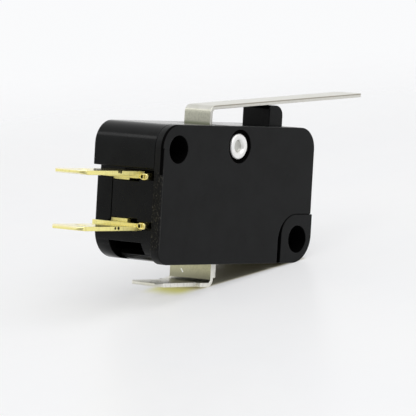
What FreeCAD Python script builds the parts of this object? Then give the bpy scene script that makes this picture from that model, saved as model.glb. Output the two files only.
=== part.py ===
import FreeCAD, Part
import Sketcher
import math
import os

# Miniature snap action switch with a long hinge lever.
# Case frame: X to the right along the case, Y from the cover's front face to the back, Z up to the plunger.
# The finished pieces are moved so that the origin lies on the lower mounting hole, in the flat back face.

doc = FreeCAD.newDocument("snap_switch")
sheet = doc.addObject("Spreadsheet::Sheet", "Sizes")


class Size:
    """A length, angle or ratio together with the sheet formula that it comes from."""

    def __init__(self, value, formula):
        self.value = value
        self.formula = formula

    def __add__(self, other):
        other = as_size(other)
        return Size(self.value + other.value, f"({self.formula} + {other.formula})")

    def __sub__(self, other):
        other = as_size(other)
        return Size(self.value - other.value, f"({self.formula} - {other.formula})")

    def __mul__(self, other):
        other = as_size(other)
        return Size(self.value * other.value, f"({self.formula} * {other.formula})")

    def __truediv__(self, other):
        other = as_size(other)
        return Size(self.value / other.value, f"({self.formula} / {other.formula})")

    def __neg__(self):
        return self * -1


def as_size(number):
    return number if isinstance(number, Size) else Size(number, f"({number})")


def tangent(angle):
    return Size(math.tan(math.radians(angle.value)), f"tan({angle.formula} * 1 deg)")


def cosine(angle):
    return Size(math.cos(math.radians(angle.value)), f"cos({angle.formula} * 1 deg)")


cells = []


def cell(alias, value):
    cells.append(alias)
    row = len(cells)
    sheet.set(f"A{row}", alias)
    sheet.set(f"B{row}", str(value))
    sheet.setAlias(f"B{row}", alias)
    return Size(value, "Sizes." + alias)


# Case and cover
case_length = cell("case_length", 27.7)
case_height = cell("case_height", 15.9)
case_depth = cell("case_depth", 10.3)
cover_thickness = cell("cover_thickness", 1.2)
cover_short = cell("cover_short", 0.28)
outer_wall = cell("outer_wall", 1.3)
back_wall = cell("back_wall", 1.45)
left_wall_inside = cell("left_wall_inside", 2.4)
side_recess = cell("side_recess", 0.8)
block_gap = cell("block_gap", 0.3)
block_notch = cell("block_notch", 0.45)
notch_drop = cell("notch_drop", 0.97)
bottom_inset = cell("bottom_inset", 0.08)
corner_top_left = cell("corner_top_left", 2.7)
corner_top_right = cell("corner_top_right", 2.5)
corner_bottom_left = cell("corner_bottom_left", 3.2)
corner_bottom_right = cell("corner_bottom_right", 3.3)
cover_corner = cell("cover_corner", 1.8)
part_gap = cell("part_gap", 0.05)

# Mounting holes, at opposite corners
hole_radius = cell("hole_radius", 1.6)
hole_edge = cell("hole_edge", 2.8)
hole_inset = cell("hole_inset", 2.75)
low_hole_inset = cell("low_hole_inset", 2.6)
hole_block = cell("hole_block", 5.6)
boss_reach = cell("boss_reach", 3.0)
boss_step = cell("boss_step", 0.08)
boss_corner = cell("boss_corner", 2.6)
boss_groove = cell("boss_groove", 0.55)
boss_top_gap = cell("boss_top_gap", 0.15)
low_block_wall = cell("low_block_wall", 0.5)

# Rivet
rivet_place = cell("rivet_place", 0.4899)
rivet_drop = cell("rivet_drop", 2.33)
rivet_shank = cell("rivet_shank", 1.0)
rivet_head = cell("rivet_head", 1.5)
rivet_head_height = cell("rivet_head_height", 0.35)
rivet_bore = cell("rivet_bore", 0.72)
rivet_bore_depth = cell("rivet_bore_depth", 1.6)
rivet_edge = cell("rivet_edge", 0.14)
rivet_seat = cell("rivet_seat", 1.95)
rivet_seat_depth = cell("rivet_seat_depth", 0.4)
rivet_column = cell("rivet_column", 1.42)

# Lever
lever_sheet = cell("lever_sheet", 0.45)
lever_offset = cell("lever_offset", 1.92)
lever_width = cell("lever_width", 3.9)
lever_drop = cell("lever_drop", 2.1)
lever_length = cell("lever_length", 28.45)
lever_slope = cell("lever_slope", 4.13)
lever_rise = cell("lever_rise", 2.13)
lever_tip_corner = cell("lever_tip_corner", 0.5)
lever_bend = cell("lever_bend", 0.5)
ear_reach = cell("ear_reach", 1.35)
ear_height = cell("ear_height", 0.8)
pivot_hole = cell("pivot_hole", 0.5)
pivot_end_gap = cell("pivot_end_gap", 0.1)
slot_side_gap = cell("slot_side_gap", 0.3)

# Plunger
plunger_inset = cell("plunger_inset", 5.2)
plunger_width = cell("plunger_width", 2.5)
plunger_depth = cell("plunger_depth", 4.1)
plunger_lever_gap = cell("plunger_lever_gap", 0.1)
plunger_round = cell("plunger_round", 1.2)
plunger_left_round = cell("plunger_left_round", 0.5)
plunger_gap = cell("plunger_gap", 0.2)
skirt_left_reach = cell("skirt_left_reach", 4.2)
skirt_right_reach = cell("skirt_right_reach", 0.9)
skirt_height = cell("skirt_height", 3.0)
skirt_margin = cell("skirt_margin", 0.7)
skirt_stop_gap = cell("skirt_stop_gap", 0.1)
nose_width = cell("nose_width", 1.3)
nose_margin = cell("nose_margin", 0.5)

# Terminals, all of one sheet
terminal_sheet = cell("terminal_sheet", 0.5)
tab_width = cell("tab_width", 4.75)
tab_corner = cell("tab_corner", 0.7)
tab_lead_length = cell("tab_lead_length", 0.9)
tab_lead_inner = cell("tab_lead_inner", 0.18)
tab_lead_outer = cell("tab_lead_outer", 0.06)
tab_hole = cell("tab_hole", 0.7)
root_margin = cell("root_margin", 1.45)
side_tab_tip = cell("side_tab_tip", -10.25)
side_tab_root = cell("side_tab_root", 0.3)
side_hole_inset = cell("side_hole_inset", 2.9)
flange_left = cell("flange_left", -0.9)
flange_right = cell("flange_right", 0.75)
flange_front_gap = cell("flange_front_gap", 0.25)
flange_back_inset = cell("flange_back_inset", 1.05)
flange_shift = cell("flange_shift", 0.35)
flange_ear = cell("flange_ear", 1.05)
flange_slit_width = cell("flange_slit_width", 0.2)
flange_slit_depth = cell("flange_slit_depth", 0.6)
lock_front_offset = cell("lock_front_offset", 0.35)
lock_width = cell("lock_width", 2.4)
lock_left = cell("lock_left", 0.85)
lock_right = cell("lock_right", 1.6)
lock_height = cell("lock_height", 0.35)
lock_slot_width = cell("lock_slot_width", 3.9)
lock_slot_height = cell("lock_slot_height", 0.75)
slot_gap = cell("slot_gap", 0.07)
slot_back_gap = cell("slot_back_gap", 0.05)
upper_tab_level = cell("upper_tab_level", 0.6585)
lower_tab_level = cell("lower_tab_level", 0.2642)
plate_end = cell("plate_end", 6.6)
upper_joggle = cell("upper_joggle", 2.6)
upper_plate_drop = cell("upper_plate_drop", 0.7)
riser_left = cell("riser_left", 2.45)

# Common terminal
common_offset = cell("common_offset", 0.4)
common_reach = cell("common_reach", 8.15)
common_shoulder_reach = cell("common_shoulder_reach", 1.75)
common_foot_top = cell("common_foot_top", -2.31)
common_hole_inset = cell("common_hole_inset", 2.3)
common_doubling = cell("common_doubling", 0.38)
common_doubling_down = cell("common_doubling_down", 1.75)
common_bend = cell("common_bend", 0.45)
arm_width = cell("arm_width", 5.0)
arm_drop = cell("arm_drop", 0.2)
arm_rise = cell("arm_rise", 1.85)
arm_rise_gap = cell("arm_rise_gap", 0.7)
arm_rise_width = cell("arm_rise_width", 1.4)
arm_end_gap = cell("arm_end_gap", 0.2)
arm_lap = cell("arm_lap", 0.15)
arm_rest_offset = cell("arm_rest_offset", 1.53)
arm_rest_width = cell("arm_rest_width", 1.0)

# Blade, snap spring and its anchor
blade_sheet = cell("blade_sheet", 0.2)
blade_width = cell("blade_width", 4.6)
blade_tip = cell("blade_tip", 3.5)
blade_knee_offset = cell("blade_knee_offset", 0.3)
blade_clamp_reach = cell("blade_clamp_reach", 1.15)
blade_end_reach = cell("blade_end_reach", 1.0)
window_place = cell("window_place", 0.361)
window_gap = cell("window_gap", 0.3)
window_width = cell("window_width", 2.1)
bow_ratio = cell("bow_ratio", 0.5578)
bow_rise = cell("bow_rise", 0.4286)
bow_sheet = cell("bow_sheet", 0.12)
bow_width = cell("bow_width", 1.9)
bow_shift = cell("bow_shift", 0.33)
anchor_foot = cell("anchor_foot", 2.53)
anchor_gap = cell("anchor_gap", 0.77)
anchor_sheet = cell("anchor_sheet", 0.45)
anchor_top_drop = cell("anchor_top_drop", 0.1)
anchor_width = cell("anchor_width", 1.7)
anchor_notch_drop = cell("anchor_notch_drop", 0.5)
anchor_notch = cell("anchor_notch", 0.16)

# Contacts and the blade's rivet
contact_across = cell("contact_across", 4.9)
contact_radius = cell("contact_radius", 1.4)
contact_height = cell("contact_height", 0.5)
contact_shank = cell("contact_shank", 0.65)
contact_upset = cell("contact_upset", 0.95)
contact_upset_height = cell("contact_upset_height", 0.18)
contact_edge = cell("contact_edge", 0.12)
contact_touch_gap = cell("contact_touch_gap", 0.02)
lower_contact_drop = cell("lower_contact_drop", 0.03)
moving_radius = cell("moving_radius", 1.2)
moving_height = cell("moving_height", 0.45)
moving_shank = cell("moving_shank", 0.6)
pin_clearance = cell("pin_clearance", 0.02)
contact_travel = cell("contact_travel", 1.03)
blade_rivet_head = cell("blade_rivet_head", 1.1)
blade_rivet_height = cell("blade_rivet_height", 0.4)
blade_rivet_seat = cell("blade_rivet_seat", 1.4)
blade_rivet_seat_depth = cell("blade_rivet_seat_depth", 0.5)

# Side details
exit_wall = cell("exit_wall", 1.1)
exit_width = cell("exit_width", 4.35)
exit_bottom = cell("exit_bottom", 0.95)
exit_top = cell("exit_top", 2.4)
exit_open_width = cell("exit_open_width", 1.15)
exit_floor = cell("exit_floor", 3.4)
seam_wall = cell("seam_wall", 0.97)
seam_width = cell("seam_width", 0.14)
seam_depth = cell("seam_depth", 0.25)
edge_bevel_depth = cell("edge_bevel_depth", 0.38)
edge_bevel_width = cell("edge_bevel_width", 0.2)
edge_bevel_drop = cell("edge_bevel_drop", 0.62)

doc.recompute()

zero = as_size(0)
outside = as_size(20)


def bind(thing, path, size):
    thing.setExpression(path, size.formula)


def origin_plane(body, role):
    for feature in body.Origin.OriginFeatures:
        if feature.Role == role:
            return feature
    raise ValueError(role)


def new_body(label):
    body = doc.addObject("PartDesign::Body", label)
    body.Label = label
    return body


# Each axis has the origin plane across it, and the sense of that plane's normal along the axis.
PLANES = {"X": ("YZ_Plane", 1), "Y": ("XZ_Plane", -1), "Z": ("XY_Plane", 1)}


def new_sketch(body, name, axis, along):
    role, sense = PLANES[axis]
    sketch = body.newObject("Sketcher::SketchObject", name)
    sketch.AttachmentSupport = [(origin_plane(body, role), "")]
    sketch.MapMode = "FlatFace"
    bind(sketch, ".AttachmentOffset.Base.z", along * sense)
    return sketch


def fix_point(sketch, curve, point, corner):
    for kind, size in zip(("DistanceX", "DistanceY"), corner):
        size = as_size(size)
        number = sketch.addConstraint(Sketcher.Constraint(kind, -1, 1, curve, point, size.value))
        sketch.setExpression(f"Constraints[{number}]", size.formula)


def draw_polygon(sketch, corners):
    points = [FreeCAD.Vector(as_size(a).value, as_size(b).value, 0) for a, b in corners]
    count = len(points)
    sketch.addGeometry([Part.LineSegment(points[i], points[(i + 1) % count]) for i in range(count)])
    for i in range(count):
        sketch.addConstraint(Sketcher.Constraint("Coincident", i, 2, (i + 1) % count, 1))
    for i, corner in enumerate(corners):
        fix_point(sketch, i, 1, corner)


def draw_circle(sketch, centre, radius):
    place = FreeCAD.Vector(centre[0].value, centre[1].value, 0)
    curve = sketch.addGeometry(Part.Circle(place, FreeCAD.Vector(0, 0, 1), radius.value))
    fix_point(sketch, curve, 3, centre)
    number = sketch.addConstraint(Sketcher.Constraint("Radius", curve, radius.value))
    sketch.setExpression(f"Constraints[{number}]", radius.formula)


def add_stretch(body, name, sketch, kind, low, high):
    feature = body.newObject("PartDesign::" + kind, name)
    feature.Profile = sketch
    length = as_size(high) - low
    feature.Length = length.value
    bind(feature, "Length", length)
    return feature


def pad(body, name, axis, low, high, corners=None, circle=None):
    """Add material between two planes across an axis; the outline is drawn in the other two axes."""
    sense = PLANES[axis][1]
    sketch = new_sketch(body, name + "_outline", axis, as_size(low if sense > 0 else high))
    if circle:
        draw_circle(sketch, *circle)
    else:
        draw_polygon(sketch, corners)
    return add_stretch(body, name, sketch, "Pad", low, high)


def pocket(body, name, axis, low, high, corners=None, circle=None):
    """Take material away between two planes across an axis."""
    sense = PLANES[axis][1]
    sketch = new_sketch(body, name + "_outline", axis, as_size(high if sense > 0 else low))
    if circle:
        draw_circle(sketch, *circle)
    else:
        draw_polygon(sketch, corners)
    doc.recompute()
    before = body.Shape.Volume
    feature = add_stretch(body, name, sketch, "Pocket", low, high)
    doc.recompute()
    if body.Shape.Volume >= before:
        raise ValueError(f"{body.Label}: {name} takes nothing away")
    return feature


def box(left, right, bottom, top):
    """Corners of a rectangle, from its two ranges."""
    return [(left, bottom), (right, bottom), (right, top), (left, top)]


def turned(label, axis, across, other, corners):
    """A turned piece; the corners are radius and height along the axis."""
    body = new_body(label)
    if axis == "Y":
        sketch = new_sketch(body, label + "_profile", "Z", other)
    else:
        sketch = new_sketch(body, label + "_profile", "Y", other)
    bind(sketch, ".AttachmentOffset.Base.x", across)
    draw_polygon(sketch, corners)
    feature = body.newObject("PartDesign::Revolution", label + "_turn")
    feature.Profile = sketch
    feature.ReferenceAxis = (sketch, ["V_Axis"])
    feature.Angle = 360
    return body


AXIS_PAIRS = {"X": ("y", "z"), "Y": ("x", "z"), "Z": ("x", "y")}
SAME_PLACE = 0.01


def edges_at(shape, axis, spots):
    """Names of the straight edges that run along an axis through the given spots."""
    first, second = AXIS_PAIRS[axis]
    names = []
    for number, edge in enumerate(shape.Edges, 1):
        if len(edge.Vertexes) != 2 or edge.Curve.TypeId != "Part::GeomLine":
            continue
        ends = [vertex.Point for vertex in edge.Vertexes]
        for spot in spots:
            gaps = [abs(getattr(end, name) - as_size(size).value)
                    for end in ends for name, size in zip((first, second), spot)]
            if max(gaps) < SAME_PLACE:
                names.append(f"Edge{number}")
    return names


def dress(body, name, kind, axis, size, spots):
    """Round (Fillet) or cut back (Chamfer) the edges along an axis at the given spots."""
    doc.recompute()
    base = body.Tip
    names = edges_at(base.Shape, axis, spots)
    if len(names) < len(spots):
        raise ValueError(f"{body.Label}: {name} found {len(names)} edges of {len(spots)}")
    feature = body.newObject("PartDesign::" + kind, name)
    feature.Base = (base, names)
    prop = "Radius" if kind == "Fillet" else "Size"
    setattr(feature, prop, size.value)
    bind(feature, prop, size)
    return feature


def around(middle, width):
    """The two ends of a width that is centred on a place."""
    return middle - width / 2, middle + width / 2


# Places that follow from the case, across it (X)
cover_length = case_length - cover_short
cavity_right = case_length - outer_wall
low_hole_across = case_length - low_hole_inset
boss_left = low_hole_across - boss_reach
low_block_left = boss_left - low_block_wall
rivet_across = case_length * rivet_place
lever_left = rivet_across - lever_offset
lever_right = lever_left + lever_sheet
lever_middle = lever_left + lever_sheet / 2
lever_tip = lever_left + lever_length
plunger_left = case_length - plunger_inset
plunger_right = plunger_left + plunger_width
skirt_left = plunger_left - skirt_left_reach
skirt_right = plunger_right + skirt_right_reach
nose_right = skirt_left + nose_width
common_left = lever_left + common_offset
common_tip = common_left - common_reach
common_shoulder = common_left - common_shoulder_reach
arm_rise_end = low_block_left - arm_rise_gap
arm_rise_start = arm_rise_end - arm_rise_width
arm_end = cavity_right - arm_end_gap
blade_rivet_across = low_hole_across
blade_knee = nose_right - blade_knee_offset
blade_clamp = blade_rivet_across - blade_clamp_reach
blade_end = blade_rivet_across + blade_end_reach
window_left = case_length * window_place
window_right = skirt_left - window_gap
anchor_right = skirt_left - anchor_gap
anchor_left = anchor_right - anchor_foot
arm_rest_left = anchor_right - arm_rest_offset
bow_across = (window_left + anchor_right - bow_shift) / 2
bow_radius = (anchor_right - window_left) * bow_ratio

# Depths (Y)
cavity_back = case_depth - back_wall
terminal_middle = case_depth / 2
lever_front = terminal_middle - plunger_depth / 2
lever_back = lever_front + lever_width
plunger_front, plunger_back = around(terminal_middle, plunger_depth)
ear_front = lever_front - ear_reach
ear_back = lever_back + ear_reach
bearing_front = lever_back + 0.15
cover_pad_back = lever_front - 0.15
root_front, root_back = around(terminal_middle, cavity_back - cover_thickness - root_margin)
tab_front, tab_back = around(terminal_middle, tab_width)
slot_back = root_back + slot_back_gap
flange_front = cover_thickness + flange_front_gap
flange_back = case_depth - flange_back_inset
flange_slit_front = flange_front + flange_ear
lock_front = terminal_middle + lock_front_offset
lock_back = lock_front + lock_width
lock_slot_front = lock_back - lock_slot_width
exit_back = cavity_back - exit_wall
exit_front = exit_back - exit_width
exit_open_front = exit_back - exit_open_width
seam_front = cavity_back - seam_wall

# Heights (Z)
cavity_top = case_height - outer_wall
hole_up = case_height - hole_edge
rivet_up = case_height - rivet_drop
lever_bottom = case_height - lever_drop
lever_corner_up = case_height + lever_rise
pivot_up = lever_bottom + ear_height / 2
lever_upright = lever_sheet / cosine(lever_slope)
touch_across = plunger_left + plunger_left_round
lever_underside = lever_corner_up + (touch_across - lever_left) * tangent(lever_slope) - lever_upright
plunger_top = lever_underside - plunger_lever_gap
upper_tab_top = case_height * upper_tab_level
lower_tab_top = case_height * lower_tab_level
block_bottom = upper_tab_top + block_gap
notch_bottom = upper_tab_top - notch_drop
edge_bevel_bottom = block_bottom - edge_bevel_drop
upper_plate_top = upper_tab_top - upper_plate_drop
contact_face = upper_plate_top - terminal_sheet - contact_height
blade_bottom = contact_face - contact_touch_gap - moving_height - blade_sheet
nose_bottom = blade_bottom + blade_sheet + part_gap
skirt_bottom = cavity_top - skirt_height
lower_face = blade_bottom - moving_height - contact_travel
lower_plate_top = lower_face - contact_height + lower_contact_drop
arm_bottom = lower_tab_top - arm_drop
arm_pad_bottom = arm_bottom + arm_rise
low_block_top = arm_pad_bottom - part_gap
boss_top = low_block_top - boss_step
bow_up = blade_bottom + bow_radius * bow_rise
anchor_top = blade_bottom - anchor_top_drop
anchor_notch_up = blade_bottom - anchor_notch_drop


def make_case():
    body = new_body("case")
    notch_face = side_recess + block_notch
    outline = [(side_recess, bottom_inset), (case_length, bottom_inset), (case_length, case_height),
               (zero, case_height), (zero, block_bottom), (notch_face, block_bottom),
               (notch_face, notch_bottom), (side_recess, notch_bottom)]
    pad(body, "case_block", "Y", cover_thickness, case_depth, outline)
    dress(body, "case_round_low_left", "Fillet", "Y", corner_bottom_left, [(side_recess, bottom_inset)])
    dress(body, "case_round_low_right", "Fillet", "Y", corner_bottom_right, [(case_length, bottom_inset)])
    dress(body, "case_round_top_right", "Fillet", "Y", corner_top_right, [(case_length, case_height)])
    dress(body, "case_round_top_left", "Fillet", "Y", corner_top_left, [(zero, case_height)])

    hollow = [(left_wall_inside, outer_wall), (low_block_left, outer_wall), (low_block_left, low_block_top),
              (cavity_right, low_block_top), (cavity_right, cavity_top), (hole_block, cavity_top),
              (hole_block, block_bottom), (left_wall_inside, block_bottom)]
    pocket(body, "case_hollow", "Y", cover_thickness, cavity_back, hollow)
    pad(body, "rivet_post", "Y", cover_pad_back, cavity_back, circle=((rivet_across, rivet_up), rivet_column))
    bearing = box(lever_left - 1.15, lever_right + 1.1, lever_bottom - 0.8, cavity_top)
    pad(body, "lever_bearing", "Y", bearing_front, cavity_back, bearing)
    rest = box(arm_rest_left, arm_rest_left + arm_rest_width, outer_wall - 0.1, arm_bottom)
    pad(body, "arm_rest", "Y", root_front, cavity_back, rest)

    boss = box(boss_left, case_length, zero, boss_top)
    pad(body, "corner_boss", "Y", zero, cover_thickness + 0.5, boss)
    dress(body, "boss_round", "Fillet", "Y", boss_corner, [(boss_left, boss_top)])
    dress(body, "boss_round_low", "Fillet", "Y", corner_bottom_right, [(case_length, zero)])

    pocket(body, "high_hole", "Y", zero, case_depth, circle=((hole_inset, hole_up), hole_radius))
    pocket(body, "low_hole", "Y", zero, case_depth, circle=((low_hole_across, hole_edge), hole_radius))
    pocket(body, "rivet_hole", "Y", cover_thickness, case_depth,
           circle=((rivet_across, rivet_up), rivet_shank + part_gap))
    pocket(body, "rivet_back_seat", "Y", case_depth - rivet_seat_depth, case_depth,
           circle=((rivet_across, rivet_up), rivet_seat))

    pocket(body, "lever_slot_front", "Z", cavity_top - 0.05, case_height,
           box(lever_left - 0.85, lever_right + 1.0, cover_thickness, cover_pad_back))
    pocket(body, "lever_slot", "Z", cavity_top - 0.05, case_height,
           box(lever_left - slot_side_gap, lever_right + slot_side_gap * 2, cover_thickness, bearing_front))
    pocket(body, "lever_pivot", "Y", bearing_front, ear_back + pivot_end_gap,
           circle=((lever_middle, pivot_up), pivot_hole))
    pocket(body, "plunger_guide", "Z", cavity_top, case_height,
           box(plunger_left - plunger_gap, plunger_right + plunger_gap,
               plunger_front - plunger_gap, plunger_back + plunger_gap))

    for name, bottom, lock_bottom in (
            ("upper", upper_tab_top - flange_shift - terminal_sheet,
             upper_tab_top - flange_shift - terminal_sheet - lock_slot_height / 2),
            ("lower", lower_tab_top + flange_shift - terminal_sheet, lower_tab_top + flange_shift)):
        pocket(body, name + "_slot", "X", side_recess, left_wall_inside,
               box(cover_thickness, slot_back, bottom - slot_gap, bottom + terminal_sheet + slot_gap))
        lock_top = lock_bottom + (lock_slot_height if name == "lower" else lock_slot_height / 2)
        pocket(body, name + "_lock_slot", "X", side_recess, left_wall_inside,
               box(lock_slot_front, lock_back + slot_back_gap, lock_bottom, lock_top))
    pocket(body, "common_slot", "Z", bottom_inset, outer_wall,
           box(common_left - slot_gap, common_left + terminal_sheet + common_doubling + slot_gap,
               cover_thickness, slot_back))
    pocket(body, "blade_rivet_pocket", "Z", low_block_top - blade_rivet_seat_depth, low_block_top,
           circle=((blade_rivet_across, terminal_middle), blade_rivet_seat))

    pocket(body, "side_exit", "X", side_recess, exit_floor, box(exit_front, exit_back, exit_bottom, exit_top))
    pocket(body, "side_exit_mouth", "X", side_recess, exit_floor,
           box(exit_open_front, exit_back, zero, exit_bottom))
    pocket(body, "side_seam", "X", side_recess, side_recess + seam_depth,
           box(seam_front, seam_front + seam_width, lower_tab_top + flange_shift, notch_bottom))
    return body


def make_cover():
    body = new_body("cover")
    cut_left = boss_left - boss_groove
    cut_top = boss_top + boss_top_gap
    outline = [(zero, zero), (cut_left, zero), (cut_left, cut_top), (cover_length, cut_top),
               (cover_length, case_height), (zero, case_height)]
    pad(body, "cover_plate", "Y", zero, cover_thickness, outline)
    dress(body, "cover_round_low_left", "Fillet", "Y", cover_corner, [(zero, zero)])
    dress(body, "cover_round_cut", "Fillet", "Y", boss_corner + boss_groove, [(cut_left, cut_top)])
    dress(body, "cover_round_top_right", "Fillet", "Y", corner_top_right, [(cover_length, case_height)])
    dress(body, "cover_round_top_left", "Fillet", "Y", corner_top_left, [(zero, case_height)])
    pad(body, "cover_pad", "Y", cover_thickness, cover_pad_back,
        box(lever_left - 1.05, rivet_across + rivet_head + 0.2, rivet_up - rivet_head, cavity_top - part_gap))
    pad(body, "slot_tongue", "Y", cover_thickness, cover_pad_back,
        box(lever_left - 0.8, lever_right + 0.95, rivet_up, case_height))
    pocket(body, "cover_high_hole", "Y", zero, cover_thickness, circle=((hole_inset, hole_up), hole_radius))
    pocket(body, "cover_rivet_hole", "Y", zero, cover_pad_back,
           circle=((rivet_across, rivet_up), rivet_shank + part_gap))
    pocket(body, "cover_rivet_seat", "Y", zero, rivet_head_height, circle=((rivet_across, rivet_up), rivet_seat))
    pocket(body, "cover_pivot", "Y", ear_front - pivot_end_gap, cover_pad_back,
           circle=((lever_middle, pivot_up), pivot_hole))
    pocket(body, "cover_edge_bevel", "Z", edge_bevel_bottom, case_height - corner_top_left,
           [(zero, zero), (edge_bevel_width, zero), (zero, edge_bevel_depth)])
    return body


def make_cover_rivet():
    back_head = case_depth - rivet_seat_depth
    profile = [(rivet_bore, zero), (rivet_head - rivet_edge, zero), (rivet_head, rivet_edge),
               (rivet_head, rivet_head_height), (rivet_shank, rivet_head_height), (rivet_shank, back_head),
               (rivet_head, back_head), (rivet_head, case_depth - part_gap * 2),
               (zero, case_depth - part_gap * 2), (zero, rivet_bore_depth), (rivet_bore, rivet_bore_depth)]
    return turned("cover_rivet", "Y", rivet_across, rivet_up, profile)


def make_lever():
    body = new_body("lever")
    slope = tangent(lever_slope)
    tip_up = lever_corner_up + lever_length * slope
    inner_up = lever_corner_up + lever_sheet * slope - lever_upright
    outline = [(lever_left, lever_bottom), (lever_left, lever_corner_up), (lever_tip, tip_up),
               (lever_tip, tip_up - lever_upright), (lever_right, inner_up), (lever_right, lever_bottom)]
    pad(body, "lever_strip", "Y", lever_front, lever_back, outline)
    dress(body, "lever_bend_inside", "Fillet", "Y", lever_bend, [(lever_right, inner_up)])
    dress(body, "lever_bend_outside", "Fillet", "Y", lever_bend + lever_sheet, [(lever_left, lever_corner_up)])
    dress(body, "lever_tip_corners", "Fillet", "Z", lever_tip_corner,
          [(lever_tip, lever_front), (lever_tip, lever_back)])
    pad(body, "lever_ears", "Y", ear_front, ear_back,
        box(lever_left, lever_right, lever_bottom, lever_bottom + ear_height))
    return body


def make_plunger():
    body = new_body("plunger")
    skirt_top = cavity_top - skirt_stop_gap
    pad(body, "plunger_stem", "Y", plunger_front, plunger_back,
        box(plunger_left, plunger_right, skirt_bottom + 1, plunger_top))
    dress(body, "plunger_round_right", "Fillet", "Y", plunger_round, [(plunger_right, plunger_top)])
    dress(body, "plunger_round_left", "Fillet", "Y", plunger_left_round, [(plunger_left, plunger_top)])
    pad(body, "plunger_skirt", "Y", plunger_front - skirt_margin, plunger_back + skirt_margin,
        box(skirt_left, skirt_right, skirt_bottom, skirt_top))
    pad(body, "plunger_nose", "Y", plunger_front + nose_margin, plunger_back - nose_margin,
        box(skirt_left, nose_right, nose_bottom, skirt_bottom + 1))
    return body


def make_tab(body, name, tip, root, top, hole_inset, lead_side):
    """A push-on tab that points to the left; its tip is bevelled, more so on the lead side (1 up, -1 down)."""
    bottom = top - terminal_sheet
    high_lead = tab_lead_inner if lead_side > 0 else tab_lead_outer
    low_lead = tab_lead_outer if lead_side > 0 else tab_lead_inner
    lead_end = tip + tab_lead_length
    outline = [(tip, bottom + low_lead), (lead_end, bottom), (root, bottom), (root, top),
               (lead_end, top), (tip, top - high_lead)]
    pad(body, name, "Y", tab_front, tab_back, outline)
    dress(body, name + "_corners", "Chamfer", "Z", tab_corner, [(tip, tab_front), (tip, tab_back)])
    pocket(body, name + "_hole", "Z", bottom, top, circle=((tip + hole_inset, terminal_middle), tab_hole))


def make_side_terminal(label, tab_top, inward):
    """A side terminal; inward is -1 for the upper one and 1 for the lower one."""
    body = new_body(label)
    tab_bottom = tab_top - terminal_sheet
    make_tab(body, label + "_tab", side_tab_tip, side_tab_root, tab_top, side_hole_inset, inward)
    root_bottom = tab_bottom + flange_shift * inward
    root_top = root_bottom + terminal_sheet
    pad(body, label + "_flange", "Y", flange_front, flange_back,
        box(flange_left, flange_right, root_bottom, root_top))
    if inward > 0:
        plate_top = lower_plate_top
        plate_left = riser_left
        root_right = riser_left + terminal_sheet
        lock = box(lock_left, lock_right, root_top, root_top + lock_height)
    else:
        plate_top = upper_plate_top
        plate_left = upper_joggle
        root_right = upper_joggle + terminal_sheet
        lock = box(lock_left, lock_right, root_bottom - lock_height, root_bottom)
    pad(body, label + "_root", "Y", root_front, root_back,
        box(side_tab_root, root_right, root_bottom, root_top))
    pad(body, label + "_lock", "Y", lock_front, lock_back, lock)
    if inward > 0:
        pad(body, label + "_riser", "Y", tab_front, tab_back,
            box(riser_left, riser_left + terminal_sheet, root_bottom, plate_top))
    pad(body, label + "_plate", "Y", tab_front, tab_back,
        box(plate_left, plate_end, plate_top - terminal_sheet, plate_top))
    pocket(body, label + "_slit", "Y", flange_slit_front, flange_slit_front + flange_slit_width,
           box(flange_left, flange_left + flange_slit_depth, root_bottom, root_top))
    pocket(body, label + "_contact_hole", "Z", plate_top - terminal_sheet, plate_top,
           circle=((contact_across, terminal_middle), contact_shank + pin_clearance))
    return body


def make_common_terminal():
    body = new_body("common_terminal")
    leg_right = common_left + terminal_sheet
    foot_bottom = common_foot_top - terminal_sheet
    arm_top = arm_bottom + terminal_sheet
    make_tab(body, "common_tab", common_tip, common_shoulder + 0.2, common_foot_top, common_hole_inset, -1)
    leg = [(common_shoulder, foot_bottom), (leg_right, foot_bottom), (leg_right, arm_top),
           (common_left, arm_top), (common_left, common_foot_top), (common_shoulder, common_foot_top)]
    pad(body, "common_leg", "Y", root_front, root_back, leg)
    dress(body, "common_bend_inside", "Fillet", "Y", common_bend, [(common_left, common_foot_top)])
    dress(body, "common_bend_outside", "Fillet", "Y", common_bend + terminal_sheet, [(leg_right, foot_bottom)])
    dress(body, "common_top_round", "Fillet", "Y", common_bend, [(common_left, arm_top)])
    pad(body, "common_doubled_root", "Y", root_front, root_back,
        box(leg_right - 0.1, leg_right + common_doubling, -common_doubling_down, outer_wall))
    arm_front, arm_back = around(terminal_middle, arm_width)
    pad_top = arm_pad_bottom + terminal_sheet
    arm = [(leg_right - 0.1, arm_bottom), (arm_rise_start, arm_bottom), (arm_rise_end, arm_pad_bottom),
           (arm_end, arm_pad_bottom), (arm_end, pad_top), (arm_rise_end - arm_lap, pad_top),
           (arm_rise_start - arm_lap, arm_top), (leg_right - 0.1, arm_top)]
    pad(body, "common_arm", "Y", arm_front, arm_back, arm)
    pocket(body, "common_rivet_hole", "Z", arm_pad_bottom, pad_top,
           circle=((blade_rivet_across, terminal_middle), moving_shank + pin_clearance))
    return body


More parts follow.
